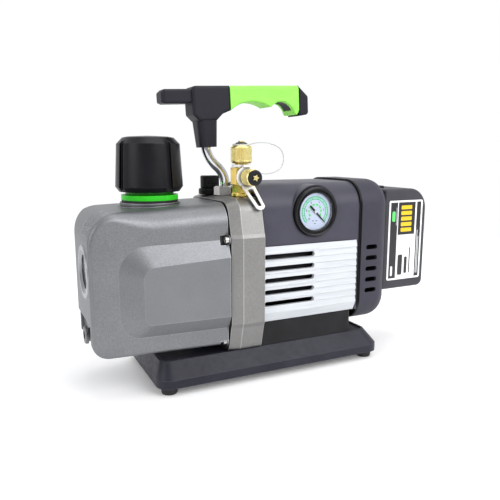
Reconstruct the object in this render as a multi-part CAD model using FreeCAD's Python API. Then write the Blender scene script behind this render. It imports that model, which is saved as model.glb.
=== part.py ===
"""Cordless two-stage rotary-vane vacuum pump for air-conditioning work.

Every physical piece is written to parts/ as its own STEP file, in millimetres.
Frame: +X runs from the oil tank towards the battery, -Y is the gauge side, +Z is up.
The origin lies on the floor, under the middle of the whole pump.
"""
import FreeCAD, Part
import math
import os

V = FreeCAD.Vector
X, Y, Z = V(1, 0, 0), V(0, 1, 0), V(0, 0, 1)

# ---- driving dimensions, millimetres --------------------------------------
HALF_LENGTH = 201.0          # the pump is 402 long, sight glass to battery
CUT = 1.0                    # how far a cutting tool runs past the face that it opens
GAP = 0.3                    # clearance between pieces that move against each other
SLIP = 0.06                  # radial clearance of a running fit

BASE_X = (-140.0, 118.0)
BASE_HALF_WIDTH = 64.0
BASE_BOTTOM, BASE_CREASE, BASE_RIM = 8.0, 16.5, 32.0
BASE_INSET = 11.5            # how far the sloping wall leans in
BASE_END_INSET = 5.5         # the same at the tank end, which is steeper
BASE_FLOOR = 30.8            # the recessed top plate inside the rim
FOOT_X = (-127.0, 105.0)
FOOT_Y = 51.0

FLANGE_X = (-64.0, -52.5, -29.0)      # tank face, ridge, motor face
FLANGE_HALF_WIDTH = 63.0
FLANGE_TOP = 186.0

TANK_X = (-198.0, -65.5)
TANK_Y = (-55.0, 54.0)
TANK_LOW = (44.5, 40.3)      # height of the tank's underside at each end
TANK_TOP = (176.1, 181.5)    # height of its top at each end: the casting has draft
TANK_WALL = 4.0
TANK_END_RADIUS = 28.0       # top corner of the tank's closed end
ROLL_X = -134.0                # the broad rounding along its front top edge starts here
FILLER_X = -126.4            # the exhaust and filler neck stands here
NECK_SEAT_Z = 182.1
NECK_RADIUS = 23.7
SIGHT_GLASS = V(TANK_X[0], -26.0, 122.0)
SIGHT_RADIUS = 25.0
DRAIN = V(-191.0, -30.0, 63.0)

SHAFT_Z = 110.0              # height of the pump and motor shaft
SHAFT_RADIUS = 8.0
ROTOR_RADIUS = 24.0
STATOR_BORE = 30.0
STATOR_RADIUS = 42.0
STATOR_Z = SHAFT_Z - (STATOR_BORE - ROTOR_RADIUS)

SHROUD_X = (-29.0, 90.0)
SHROUD_HALF_WIDTH = 55.0
SHROUD_TOP = 199.0
SHROUD_CORNER = 27.0
PANEL_X = (-28.5, 86.5)
PANEL_Z = (58.0, 136.5)
PANEL_FRONT = 57.5
RIB_PITCH = 6.1
GAUGE = V(33.0, -58.8, 169.7)         # centre of the gauge's front rim
GAUGE_RADIUS = 25.9

COVER_X = (90.0, 134.0)
COVER_HALF_WIDTH = 57.0
COVER_Z = (42.0, 201.0)

BATTERY_X = (139.0, HALF_LENGTH)
BATTERY_HALF_WIDTH = 37.5
BATTERY_Z = (70.0, 188.5)
RAIL_TOP = 150.0

VALVE_X, VALVE_Y = -39.2, -29.0       # axis of the inlet valve
SIDE_PORT_Z = 206.0
TUBE_X = -44.5                        # where the handle's tube leaves the flange
BALLAST = V(-53.0, 23.0, FLANGE_TOP)

HANDLE_PIVOT = V(-64.0, 0.0, 295.6)   # top of the handle, over its socket
HANDLE_TILT = 3.0                     # degrees, grip end up
HANDLE_WIDTH = 26.0

PARTS = {}


# ---- geometry helpers --------------------------------------------------------
def box(x, y, z):
    """A box from three (low, high) pairs."""
    return Part.makeBox(x[1] - x[0], y[1] - y[0], z[1] - z[0], V(x[0], y[0], z[0]))


def rod(radius, start, direction, length):
    return Part.makeCylinder(radius, length, start, direction)


def ring(outer, inner, start, direction, length):
    hole = rod(inner, start - direction * CUT, direction, length + 2 * CUT)
    return rod(outer, start, direction, length).cut(hole)


def point_on(normal, level, a, b):
    """A point in the plane across `normal`, at `level` along it."""
    return {"x": V(level, a, b), "y": V(a, level, b), "z": V(a, b, level)}[normal]


def outline(normal, level, corners):
    """A closed wire through (a, b, radius) corners, each rounded to its radius."""
    points = [point_on(normal, level, a, b) for a, b, _ in corners]
    arcs = []
    for i, (_, _, radius) in enumerate(corners):
        here, back, ahead = points[i], points[i - 1], points[(i + 1) % len(points)]
        to_back, to_ahead = (back - here).normalize(), (ahead - here).normalize()
        half = to_back.getAngle(to_ahead) / 2
        reach = radius / math.tan(half)
        inward = (to_back + to_ahead).normalize()
        middle = here + inward * (radius / math.sin(half) - radius)
        arcs.append((here + to_back * reach, middle, here + to_ahead * reach))
    edges = []
    for i, (start, middle, end) in enumerate(arcs):
        if (end - start).Length > 1e-6:
            edges.append(Part.Arc(start, middle, end).toShape())
        following = arcs[(i + 1) % len(arcs)][0]
        if (following - end).Length > 1e-6:
            edges.append(Part.LineSegment(end, following).toShape())
    return Part.Wire(edges)


def slab(normal, low, high, corners):
    """A prism with a rounded outline, from `low` to `high` along `normal`."""
    direction = {"x": X, "y": Y, "z": Z}[normal]
    return Part.Face(outline(normal, low, corners)).extrude(direction * (high - low))


def taper(normal, low, corners_low, high, corners_high):
    """A straight-sided loft between two outlines with the same corners."""
    wires = [outline(normal, low, corners_low), outline(normal, high, corners_high)]
    return Part.makeLoft(wires, True, True)


def rect(a, b, radius):
    """Corners of a rectangle from (low, high) pairs."""
    return [(a[0], b[0], radius), (a[1], b[0], radius), (a[1], b[1], radius), (a[0], b[1], radius)]


def spun(start, direction, profile):
    """A solid of revolution from (radius, height) points about an axis through `start`."""
    side = X if abs(direction.x) < 0.5 else Y
    points = [start + side * radius + direction * height for radius, height in profile]
    return Part.Face(Part.makePolygon(points + points[:1])).revolve(start, direction, 360)


def hexagon(across_flats, start, direction, length):
    side = X if abs(direction.x) < 0.5 else Y
    corner = across_flats / math.sqrt(3)
    other = direction.cross(side)
    points = [start + side * (corner * math.cos(math.radians(60 * k)))
              + other * (corner * math.sin(math.radians(60 * k))) for k in range(7)]
    return Part.Face(Part.makePolygon(points)).extrude(direction * length)


def joined(shapes):
    """One solid out of overlapping or touching shapes."""
    first, *rest = shapes
    return first.fuse(rest).removeSplitter() if rest else first


def socket_screw(seat, direction, radius, length):
    """A cap screw whose head sits on `seat` and whose shank runs along `direction`."""
    head = rod(radius * 1.65, seat, -direction, radius * 1.9)
    socket = hexagon(radius * 1.6, seat - direction * (radius * 0.8), -direction, radius * 2)
    return head.cut(socket).fuse(rod(radius, seat, direction, length))


def copies(make, places):
    return Part.makeCompound([make(place) for place in places])


def knurled(start, direction, radius, length, teeth):
    """A cylinder with straight knurling cut into its middle."""
    body = rod(radius, start, direction, length)
    side = X if abs(direction.x) < 0.5 else Y
    groove_start = start + direction * (length * 0.16) + side * radius
    groove = rod(radius * 0.055, groove_start, direction, length * 0.68)
    cutters = []
    for k in range(teeth):
        cutter = groove.copy()
        cutter.rotate(start, direction, 360.0 * k / teeth)
        cutters.append(cutter)
    return body.cut(cutters)


def bent_tube(points, radius):
    """A round bar along straight runs joined by tangent arcs as large as the runs allow."""
    edges = []
    last = points[0]
    for before, here, after in zip(points, points[1:], points[2:]):
        reach = 0.45 * min((before - here).Length, (after - here).Length)
        to_before, to_after = (before - here).normalize(), (after - here).normalize()
        half = to_before.getAngle(to_after) / 2
        bend = reach * math.tan(half)
        middle = here + (to_before + to_after).normalize() * (bend / math.sin(half) - bend)
        start, end = here + to_before * reach, here + to_after * reach
        edges.append(Part.LineSegment(last, start).toShape())
        edges.append(Part.Arc(start, middle, end).toShape())
        last = end
    edges.append(Part.LineSegment(last, points[-1]).toShape())
    path = Part.Wire(edges)
    circle = Part.Circle(points[0], (points[1] - points[0]).normalize(), radius)
    return path.makePipeShell([Part.Wire([circle.toShape()])], True, False)


def edges_on(shape, normal, level):
    """The edges that lie wholly in one plane."""
    pick = {"x": ("XMin", "XMax"), "y": ("YMin", "YMax"), "z": ("ZMin", "ZMax")}[normal]
    found = []
    for edge in shape.Edges:
        low, high = (getattr(edge.BoundBox, name) for name in pick)
        if abs(low - level) < 1e-3 and abs(high - level) < 1e-3:
            found.append(edge)
    return found


def round_path(shape, path, radius_at):
    """Round edges with a radius that varies along them, from a function of the point."""
    document = FreeCAD.newDocument("rounding")
    base = document.addObject("Part::Feature", "base")
    base.Shape = shape
    fillet = document.addObject("Part::Fillet", "fillet")
    fillet.Base = base
    rules = []
    for number, edge in enumerate(shape.Edges, 1):
        if any(edge.isSame(other) for other in path):
            start, end = edge.Vertexes[0].Point, edge.Vertexes[-1].Point
            rules.append((number, radius_at(start), radius_at(end)))
    fillet.Edges = rules
    document.recompute()
    result = fillet.Shape.copy()
    FreeCAD.closeDocument(document.Name)
    return result


def rounded(shape, radius, *planes):
    """Round the edges that lie in the given (normal, level) planes."""
    edges = [edge for normal, level in planes for edge in edges_on(shape, normal, level)]
    return shape.makeFillet(radius, edges)


# ---- base ---------------------------------------------------------------------
def base_outline(inset, radius, steeper=0.0):
    across = (BASE_X[0] + inset - steeper, BASE_X[1] - inset)
    deep = (-BASE_HALF_WIDTH + inset, BASE_HALF_WIDTH - inset)
    return rect(across, deep, radius)


RISER_SCREWS = [V(x, y, 28.0) for x in (-15.0, 70.0) for y in (-40.0, 40.0)]
FOOT_CENTRES = [V(x, y, 0.0) for x in FOOT_X for y in (-FOOT_Y, FOOT_Y)]


def make_base():
    """The tray, open underneath, with its feet and the screws into it."""
    wall, steeper = 3.0, BASE_INSET - BASE_END_INSET
    outside = joined([slab("z", BASE_BOTTOM, BASE_CREASE, base_outline(0, 14)),
                      taper("z", BASE_CREASE, base_outline(0, 14),
                            BASE_RIM, base_outline(BASE_INSET, 9, steeper))])
    inside = joined([slab("z", BASE_BOTTOM - CUT, BASE_CREASE - wall, base_outline(wall, 11)),
                     taper("z", BASE_CREASE - wall, base_outline(wall, 11),
                           28.0, base_outline(BASE_INSET + wall, 7, steeper))])
    recess = slab("z", BASE_FLOOR, BASE_RIM + CUT, base_outline(BASE_INSET + 2.5, 6.5, steeper))
    tray = outside.cut([inside, recess])
    bosses = [rod(8.0, foot + Z * BASE_BOTTOM, Z, 18.0).common(outside) for foot in FOOT_CENTRES]
    tray = joined([tray] + bosses)
    holes = [rod(2.1, foot + Z * (BASE_BOTTOM - CUT), Z, 16.0) for foot in FOOT_CENTRES]
    holes += [rod(2.6, place - Z * CUT, Z, 6.0) for place in RISER_SCREWS]
    PARTS["base_tray"] = tray.cut(holes)

    def foot(place):
        pad = spun(place, Z, [(0, 0), (7.2, 0), (7.8, 0.8), (8.6, 8.0), (0, 8.0)])
        return pad.cut([rod(2.1, place - Z * CUT, Z, 12.0), rod(4.4, place - Z * CUT, Z, 5.2)])

    PARTS["rubber_feet"] = copies(foot, FOOT_CENTRES)
    foot_screws = [socket_screw(foot + Z * 4.2, Z, 2.1, 18.0) for foot in FOOT_CENTRES]
    riser_screws = [socket_screw(place, Z, 2.5, 16.0) for place in RISER_SCREWS]
    PARTS["base_screws"] = Part.makeCompound(foot_screws + riser_screws)

    riser = joined([slab("z", BASE_RIM, PANEL_Z[0], rect((SHROUD_X[0], 84.0), (-52.0, 52.0), 3.0)),
                    slab("z", BASE_FLOOR, BASE_RIM, rect((SHROUD_X[0], 84.0), (-49.6, 49.6), 3.0))])
    cradle = box((-20.0, 76.0), (-44.0, 44.0), (44.0, PANEL_Z[0] + CUT))
    holes = [rod(2.5, place, Z, 16.0) for place in RISER_SCREWS]
    PARTS["motor_riser"] = riser.cut([cradle] + holes)


# ---- oil tank -----------------------------------------------------------------
def tank_side_view(inset):
    """Side-view corners of the tank, or of its hollow when `inset` is the wall."""
    x = (TANK_X[0] + inset, TANK_X[1])
    low, top = (TANK_LOW[0] + inset, TANK_LOW[1] + inset), (TANK_TOP[0] - inset, TANK_TOP[1] - inset)
    rise = (top[1] - top[0]) / (x[1] - x[0])
    return [(x[0], low[0], 16 - inset), (x[1], low[1], 0), (x[1], top[1], 0),
            (ROLL_X, top[0] + rise * (ROLL_X - x[0]), 0), (x[0], top[0], TANK_END_RADIUS - inset)]


def tank_shell():
    """The outer shape: a broad rounding along the top that narrows to a ridge round the end."""
    def radius_at(point):
        if point.z < 150.0:
            return 4.0
        return 20.0 if point.x > ROLL_X - CUT else 9.0

    block = slab("y", TANK_Y[0], TANK_Y[1], tank_side_view(0.0))
    path = [edge for edge in edges_on(block, "y", TANK_Y[0]) if edge.BoundBox.XMin < TANK_X[1] - CUT]
    block = round_path(block, path, radius_at)
    plan = [(TANK_X[0] - CUT, TANK_Y[0] - CUT, 0), (TANK_X[1], TANK_Y[0] - CUT, 0),
            (TANK_X[1], TANK_Y[1], 0), (TANK_X[0], TANK_Y[1], 40)]
    section = [(TANK_Y[0] - CUT, 30.0, 0), (TANK_Y[1], TANK_LOW[1], 16), (TANK_Y[1], TANK_TOP[1], 30),
               (TANK_Y[0] - CUT, TANK_TOP[1], 0)]
    return block.common([slab("z", 30.0, 200.0, plan)]).common([slab("x", *TANK_X, section)])


def tank_hollow():
    wall = TANK_WALL
    y = (TANK_Y[0] + wall, TANK_Y[1] - wall)
    block = slab("y", *y, [(a, b, r) if a < TANK_X[1] else (TANK_X[1] + CUT, b, r)
                           for a, b, r in tank_side_view(wall)])
    plan = [(TANK_X[0] + wall, y[0], 7), (TANK_X[1] + CUT, y[0], 0), (TANK_X[1] + CUT, y[1], 0),
            (TANK_X[0] + wall, y[1], 36)]
    section = [(y[0], TANK_LOW[1] + wall, 8), (y[1], TANK_LOW[1] + wall, 12),
               (y[1], TANK_TOP[1] - wall, 26), (y[0], TANK_TOP[1] - wall, 20)]
    block = block.common([slab("z", 30.0, 200.0, plan)])
    return block.common([slab("x", TANK_X[0], TANK_X[1] + CUT, section)])


def tank_bulge():
    """The raised front face: a wide frame that slopes up to a flat plateau."""
    foot = [(-172.5, 61.0, 20), (TANK_X[1], 58.5, 0), (TANK_X[1], 147.0, 0), (-172.5, 146.0, 26)]
    plateau = [(-151.0, 73.5, 8), (TANK_X[1], 71.5, 0), (TANK_X[1], 130.5, 0), (-151.0, 127.0, 11)]
    front, sunk = -FLANGE_HALF_WIDTH + 1.0, TANK_Y[0] + 0.01
    slope = taper("y", sunk, foot, front, plateau)
    return joined([slab("y", sunk, sunk + 2.0, foot), slope])


SCREW_RADIUS = 2.0
TANK_SCREWS = [V(-66.2, side * y, z) for side in (-1, 1) for y, z in ((50.3, 42.8), (57.0, 147.0))]


def tank_grooves():
    """Fine grooves round the top corner of the closed end."""
    x, z = TANK_X[0] + TANK_END_RADIUS, TANK_TOP[0] + 1.0 - TANK_END_RADIUS
    grooves = []
    for k in range(7):
        y = -47.0 + 5.4 * k
        groove = ring(45.0, TANK_END_RADIUS - 1.5, V(x, y, z), Y, 2.2)
        grooves.append(groove.common(box((x - 40.0, x - 7.0), (y, y + 2.2), (z + 7.0, z + 40.0))))
    return grooves


def drain_pocket(margin):
    """The recess for the drain plug, grown by `margin` where the wall behind it goes."""
    x, low, high = DRAIN.x + margin, TANK_LOW[1] - 6.0 - margin, 74.0 + margin
    mouth = TANK_X[0] - CUT
    return slab("y", -46.0 - margin, 30.0 + margin,
                [(mouth, low, 0), (x, low, 0), (x, high, 0), (mouth, high + 2.0, 0)])


def make_tank():
    ears, notches, ear_room = [], [], []
    for screw in TANK_SCREWS:
        ears.append(rod(4.6, screw, X, TANK_X[1] - screw.x))
        ears.append(box((screw.x, TANK_X[1]), sorted((screw.y * 0.8, screw.y)), (screw.z - 2.0, screw.z + 3.0)))
        notches.append(rod(4.9, screw - X * 8.0, X, 8.0))
        ear_room.append(rod(7.4, screw - X * 11.0, X, 20.0))
    neck_seat = rod(29.5, V(FILLER_X, 0, NECK_SEAT_Z - 6.0), Z, 6.0)
    body = joined([joined([tank_shell(), tank_bulge(), neck_seat]).cut(notches)] + ears)
    hollow = tank_hollow().cut([drain_pocket(TANK_WALL)] + ear_room)
    boss = rod(12.0, DRAIN, X, 10.0)
    body = joined([body.cut([hollow, drain_pocket(0.0)]), boss])
    cutters = [rod(18.0, SIGHT_GLASS - X * CUT, X, 8.0),
               rod(SIGHT_RADIUS + 0.4, SIGHT_GLASS - X * CUT, X, CUT + 1.6),
               rod(7.0, DRAIN - X * CUT, X, 14.0),
               rod(18.0, V(FILLER_X, 0, TANK_TOP[0] - 10.0), Z, 20.0)]
    cutters += [rod(SCREW_RADIUS, screw - X, X, 8.0) for screw in TANK_SCREWS]
    PARTS["oil_tank"] = body.cut(cutters + tank_grooves())

    mouth = slab("x", TANK_X[1] - CUT, FLANGE_X[0] + CUT, rect((-48.0, 47.0), (50.0, 171.0), 16.0))
    sheet = slab("x", TANK_X[1], FLANGE_X[0], flange_outline(6.5))
    holes = [rod(SCREW_RADIUS, screw, X, 12.0) for screw in TANK_SCREWS]
    PARTS["tank_gasket"] = sheet.cut([mouth] + holes)
    PARTS["tank_screws"] = copies(lambda screw: socket_screw(screw, X, SCREW_RADIUS, 15.0), TANK_SCREWS)


def make_tank_fittings():
    """Sight glass on the closed end and the drain plug below it."""
    bezel = spun(SIGHT_GLASS + X * 1.6, -X, [(16.0, 0), (SIGHT_RADIUS, 0), (SIGHT_RADIUS, 1.8),
                                            (SIGHT_RADIUS - 0.8, 2.6), (20.6, 2.6), (18.6, 1.0), (16.0, 1.0)])
    PARTS["sight_ring"] = bezel
    PARTS["sight_lens"] = rod(17.9, SIGHT_GLASS + X * 1.6, X, 2.8)
    head = spun(DRAIN, -X, [(0, 0), (9.4, 0), (9.4, 1.6), (6.4, 1.6), (6.4, 7.0), (8.4, 7.0), (8.4, 9.2),
                            (7.6, 10.0), (0, 10.0)])
    plug = joined([head, rod(7.0, DRAIN, X, 9.0)])
    socket = hexagon(8.0, DRAIN - X * 11.0, X, 6.0)
    PARTS["drain_plug"] = plug.cut(socket)


# ---- exhaust and filler neck ----------------------------------------------------
def make_exhaust():
    seat = V(FILLER_X, 0, NECK_SEAT_Z)
    PARTS["neck_gasket"] = ring(27.6, 18.0, seat, Z, 2.4)
    neck = spun(seat + Z * 2.4, Z, [(0, 0), (28.0, 0), (28.0, 4.8), (NECK_RADIUS + 0.8, 4.8),
                                    (NECK_RADIUS, 6.0), (NECK_RADIUS, 29.2), (0, 29.2)])
    stub = rod(17.7, seat + Z * 2.4, -Z, 10.8)
    bore = rod(15.0, seat - Z * 12.0, Z, 60.0)
    filter_well = rod(19.8, seat + Z * 8.0, Z, 40.0)
    PARTS["exhaust_neck"] = joined([neck, stub]).cut([bore, filter_well])
    mesh = ring(19.2, 13.0, seat + Z * 9.0, Z, 24.0)
    disc = rod(19.2, seat + Z * 33.0, Z, 2.0)
    PARTS["mist_filter"] = joined([mesh, disc])

    bottom, top = seat.z + 10.4, 246.4
    cap = spun(V(FILLER_X, 0, 0), Z, [(0, bottom), (29.8, bottom), (33.2, bottom + 4.8),
                                     (30.8, top - 8.0), (25.0, top - 2.0), (20.0, top - 1.0),
                                     (0, top)])
    hollow = rod(NECK_RADIUS + 0.5, V(FILLER_X, 0, bottom - CUT), Z, 25.0 + CUT)
    cutters = [hollow]
    for turn in (-69.0, 21.0, 111.0, 201.0):
        flute = taper("z", bottom - CUT, rect((-3.4, 3.4), (-38.0, -30.5), 0.8),
                      top + CUT, rect((-3.0, 3.0), (-36.0, -27.7), 0.8))
        flute.rotate(V(), Z, turn)
        flute.translate(V(FILLER_X, 0, 0))
        cutters.append(flute)
    vents = [rod(2.0, V(FILLER_X, 0, bottom - CUT)
                 + V(28.0 * math.cos(a), 28.0 * math.sin(a), 0), Z, 12.0)
             for a in (math.radians(30 * k + 15) for k in range(12))]
    PARTS["exhaust_cap"] = cap.cut(cutters + vents)


# ---- flange and pump -----------------------------------------------------------
def flange_outline(inset):
    w, top, low = FLANGE_HALF_WIDTH - inset, FLANGE_TOP - inset, BASE_RIM
    left = [(-w, 62.0, 2), (-w, 148.0, 2), (-w + 1.6, 151.5, 2), (-w + 10.5, top, 16)]
    right = [(-y, z, r) for y, z, r in reversed(left)]
    lower_right = [(w - 2.2, 57.5, 2), (w - 8.5, low, 5)]
    lower_left = [(-y, z, r) for y, z, r in reversed(lower_right)]
    return left + right + lower_right + lower_left


def make_flange():
    cover = taper("x", FLANGE_X[0], flange_outline(3.0), FLANGE_X[1], flange_outline(0.0))
    housing = slab("x", FLANGE_X[1], FLANGE_X[2], flange_outline(0.0))
    shaft_hole = rod(16.0, V(FLANGE_X[0] - CUT, 0, SHAFT_Z), X, 13.5)
    screw_holes = [rod(SCREW_RADIUS, screw, X, 16.0) for screw in TANK_SCREWS]
    coupling_room = rod(26.0, V(FLANGE_X[1] - CUT, 0, SHAFT_Z), X, 26.0)
    port = V(VALVE_X, VALVE_Y, FLANGE_TOP)
    inlet = [rod(8.0, port - Z * 12.0, Z, 14.0)]
    tube = rod(5.0, V(TUBE_X, 0, FLANGE_TOP - 14.0), Z, 16.0)
    ballast = rod(6.0, BALLAST - Z * 10.0, Z, 12.0)
    PARTS["flange_cover"] = cover.cut([shaft_hole] + screw_holes + [ballast])
    PARTS["pump_housing"] = housing.cut([coupling_room, tube, ballast] + inlet + screw_holes)


def stator(x):
    bore = rod(STATOR_BORE, V(x[0] - CUT, 0, STATOR_Z), X, x[1] - x[0] + 2 * CUT)
    return rod(STATOR_RADIUS, V(x[0], 0, STATOR_Z), X, x[1] - x[0]).cut(bore)


def rotor(x):
    """A slotted rotor; its vanes are separate pieces."""
    length = x[1] - x[0]
    body = ring(ROTOR_RADIUS - SLIP, SHAFT_RADIUS, V(x[0], 0, SHAFT_Z), X, length)
    slots = [box((x[0] - CUT, x[1] + CUT), (-2.0, 2.0), (SHAFT_Z + low, SHAFT_Z + low + 18.0))
             for low in (12.0, -30.0)]
    return body.cut(slots)


def vanes(x):
    return [box(x, (-1.95, 1.95), (SHAFT_Z + low, SHAFT_Z + low + 11.4)) for low in (12.2, -23.6)]


LOW_STAGE = (-100.0, -64.0)
HIGH_STAGE = (-130.0, -106.0)


def inside_stage(stage):
    return (stage[0] + 0.1, stage[1] - 0.1)


def make_pump():
    """Two eccentric vane stages on one shaft, hung in the oil from the flange."""
    PARTS["stator_rings"] = Part.makeCompound([stator(LOW_STAGE), stator(HIGH_STAGE)])
    plates = []
    for x in ((LOW_STAGE[0] - 6.0, LOW_STAGE[0]), (HIGH_STAGE[0] - 8.0, HIGH_STAGE[0])):
        disc = rod(STATOR_RADIUS, V(x[0], 0, STATOR_Z), X, x[1] - x[0])
        plates.append(disc.cut(rod(SHAFT_RADIUS + SLIP, V(x[0] - CUT, 0, SHAFT_Z), X, 12.0)))
    PARTS["stator_plates"] = Part.makeCompound(plates)
    stages = (inside_stage(LOW_STAGE), inside_stage(HIGH_STAGE))
    PARTS["pump_rotors"] = Part.makeCompound([rotor(stage) for stage in stages])
    PARTS["rotor_vanes"] = Part.makeCompound([vane for stage in stages for vane in vanes(stage)])
    PARTS["pump_shaft"] = rod(SHAFT_RADIUS, V(-140.0, 0, SHAFT_Z), X, 102.0)
    bush = V(FLANGE_X[0], 0, SHAFT_Z)
    PARTS["shaft_bush"] = ring(16.0, SHAFT_RADIUS + SLIP, bush, X, 6.5)
    PARTS["shaft_seal"] = ring(16.0, SHAFT_RADIUS + SLIP, bush + X * 6.5, X, 5.0)
    top = STATOR_Z + STATOR_RADIUS
    reed = box((-96.0, -70.0), (-9.0, 9.0), (top, top + 1.0))
    backstop = box((-96.0, -70.0), (-7.0, 7.0), (top + 1.0, top + 4.0))
    seat = box((-98.0, -68.0), (-11.0, 11.0), (top - 6.0, top)).cut(
        rod(STATOR_RADIUS, V(-110.0, 0, STATOR_Z), X, 60.0))
    PARTS["reed_valve"] = joined([seat, reed, backstop])


def make_drive():
    """Coupling, motor and fan on the shaft behind the flange."""
    axis = V(0, 0, SHAFT_Z)
    pump_hub = ring(18.0, SHAFT_RADIUS, axis - X * 49.0, X, 9.0)
    motor_hub = ring(18.0, 6.0, axis - X * 35.0, X, 9.0)
    PARTS["coupling_hubs"] = Part.makeCompound([pump_hub, motor_hub])
    PARTS["coupling_spider"] = ring(17.0, SHAFT_RADIUS + 0.5, axis - X * 40.0, X, 5.0)
    PARTS["motor_shaft"] = rod(6.0, axis - X * 37.0, X, 117.0)
    core = ring(26.0, 6.0, axis - X * 4.0, X, 50.0)
    slots = []
    for k in range(8):
        slot = box((-5.0, 47.0), (-1.5, 1.5), (SHAFT_Z + 19.0, SHAFT_Z + 30.0))
        slot.rotate(axis, X, 45.0 * k)
        slots.append(slot)
    PARTS["motor_armature"] = core.cut(slots)
    can = ring(47.0, 44.0, axis - X * 14.0, X, 80.0)
    front = ring(47.0, 6.0 + SLIP, axis - X * 18.0, X, 4.0)
    rear = ring(47.0, 6.0 + SLIP, axis + X * 62.0, X, 4.0)
    PARTS["motor_can"] = joined([can.cut(rear), front, rear])
    PARTS["motor_windings"] = ring(43.9, 27.0, axis - X * 8.0, X, 58.0)
    hub = ring(12.0, 6.0, axis + X * 67.0, X, 12.0)
    blades = []
    for k in range(7):
        blade = box((68.0, 78.0), (-1.2, 1.2), (SHAFT_Z + 10.0, SHAFT_Z + 42.0))
        blade.rotate(V(73.0, 0, SHAFT_Z), Z, 30.0)
        blade.rotate(axis, X, 360.0 * k / 7)
        blades.append(blade)
    PARTS["cooling_fan"] = joined([hub] + blades)


# ---- motor shroud and panels ----------------------------------------------------
def shroud_section(inset):
    w = SHROUD_HALF_WIDTH - inset
    top = SHROUD_TOP - inset
    radius = SHROUD_CORNER - inset
    return [(-w, PANEL_Z[1], 0), (w, PANEL_Z[1], 0), (w, top, radius), (-w, top, radius)]


def make_shroud():
    """The arched top cover, with a round boss for the gauge and a bevelled front end."""
    wall = 3.0
    arch = slab("x", SHROUD_X[0], SHROUD_X[1], shroud_section(0.0))
    hollow = slab("x", SHROUD_X[0] - CUT, SHROUD_X[1] - wall, shroud_section(wall))
    hollow = hollow.fuse(box((SHROUD_X[0] - CUT, SHROUD_X[1] - wall), (-52.0, 52.0),
                             (PANEL_Z[1] - CUT, PANEL_Z[1] + 6.0)))
    front = SHROUD_X[0]
    slope = slab("y", -80.0, 80.0, [(front - CUT, SHROUD_TOP - 9.0, 0), (front + 9.0, SHROUD_TOP + CUT, 0),
                                    (front - CUT, SHROUD_TOP + CUT, 0)])
    lid = slab("y", -80.0, 80.0, [(front, FLANGE_TOP - 6.0, 0), (front + wall, FLANGE_TOP - 6.0, 0),
                                  (front + wall, SHROUD_TOP - 10.0, 0), (front + 13.0, SHROUD_TOP + CUT, 0),
                                  (front, SHROUD_TOP + CUT, 0)]).common(arch)
    boss = rod(GAUGE_RADIUS + 2.0, V(GAUGE.x, -36.0, GAUGE.z), -Y, SHROUD_HALF_WIDTH - 36.0)
    body = arch.cut(hollow)
    frame = box((SHROUD_X[1] - wall, SHROUD_X[1]), (-SHROUD_HALF_WIDTH, SHROUD_HALF_WIDTH),
                (PANEL_Z[0], PANEL_Z[1] + 1.0))
    body = joined([body, lid, frame, boss]).cut(slope)
    air_hole = rod(46.0, V(SHROUD_X[1] - wall - CUT, 0, SHAFT_Z), X, wall + 2 * CUT)
    gauge_hole = rod(GAUGE_RADIUS + GAP, V(GAUGE.x, -20.0, GAUGE.z), -Y, 50.0)
    PARTS["motor_shroud"] = body.cut([gauge_hole, air_hole])


def panel(side):
    """A ribbed aluminium side panel; side is -1 at the front and 1 at the back."""
    thickness = 5.0
    outer, ribs = PANEL_FRONT, 10
    low, high = PANEL_Z
    profile = [(outer - thickness, low), (outer - 4.4, low), (outer - 0.4, low + 9.0)]
    level = low + 10.5
    step = (high - level) / ribs
    for k in range(ribs):
        profile.append((outer, level + k * step))
        profile.append((outer - 1.5, level + (k + 1) * step - 0.6))
    profile += [(outer - 1.5, high), (outer - thickness, high)]
    points = [V(PANEL_X[0], side * y, z) for y, z in profile]
    sheet = Part.Face(Part.makePolygon(points + points[:1])).extrude(X * (PANEL_X[1] - PANEL_X[0]))
    slots = []
    for k in range(5):
        z = 77.0 + k * 2 * RIB_PITCH
        slots.append(slab("y", side * outer - 10.0, side * outer + 10.0,
                          rect((-26.5, 32.7), (z - 2.7, z + 2.7), 2.6)))
    return sheet.cut(slots)


def make_panels():
    PARTS["fin_panel_front"] = panel(-1)
    PARTS["fin_panel_back"] = panel(1)


def make_gauge():
    """Vacuum gauge: deep black case with two raised rims, printed dial, pointer and lens."""
    front, wall = GAUGE, GAUGE_RADIUS
    case = spun(front, Y, [(19.4, 1.6), (19.9, 0.7), (20.7, 0.5), (21.4, 1.5), (22.2, 1.5), (22.9, 0.4),
                           (24.2, 0), (25.3, 0.6), (wall, 2.0), (wall, 21.8), (0, 21.8), (0, 19.3),
                           (18.4, 19.3), (18.4, 4.6), (19.4, 4.6)])
    PARTS["gauge_case"] = case
    PARTS["gauge_dial"] = rod(19.3, front + Y * 3.9, Y, 0.7)
    PARTS["gauge_lens"] = rod(19.3, front + Y * 1.4, Y, 0.6)
    hub = rod(1.7, front + Y * 2.4, Y, 1.2)
    needle = slab("y", front.y + 2.7, front.y + 3.2,
                  [(-9.0, -0.8, 0.3), (-2.0, -1.0, 0.3), (16.6, -0.3, 0.1), (16.6, 0.3, 0.1),
                   (-2.0, 1.0, 0.3), (-9.0, 0.8, 0.3)])
    needle.rotate(V(0, front.y, 0), Y, 45.0)
    needle.translate(V(front.x, 0, front.z))
    PARTS["gauge_pointer"] = joined([hub, needle])


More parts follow.
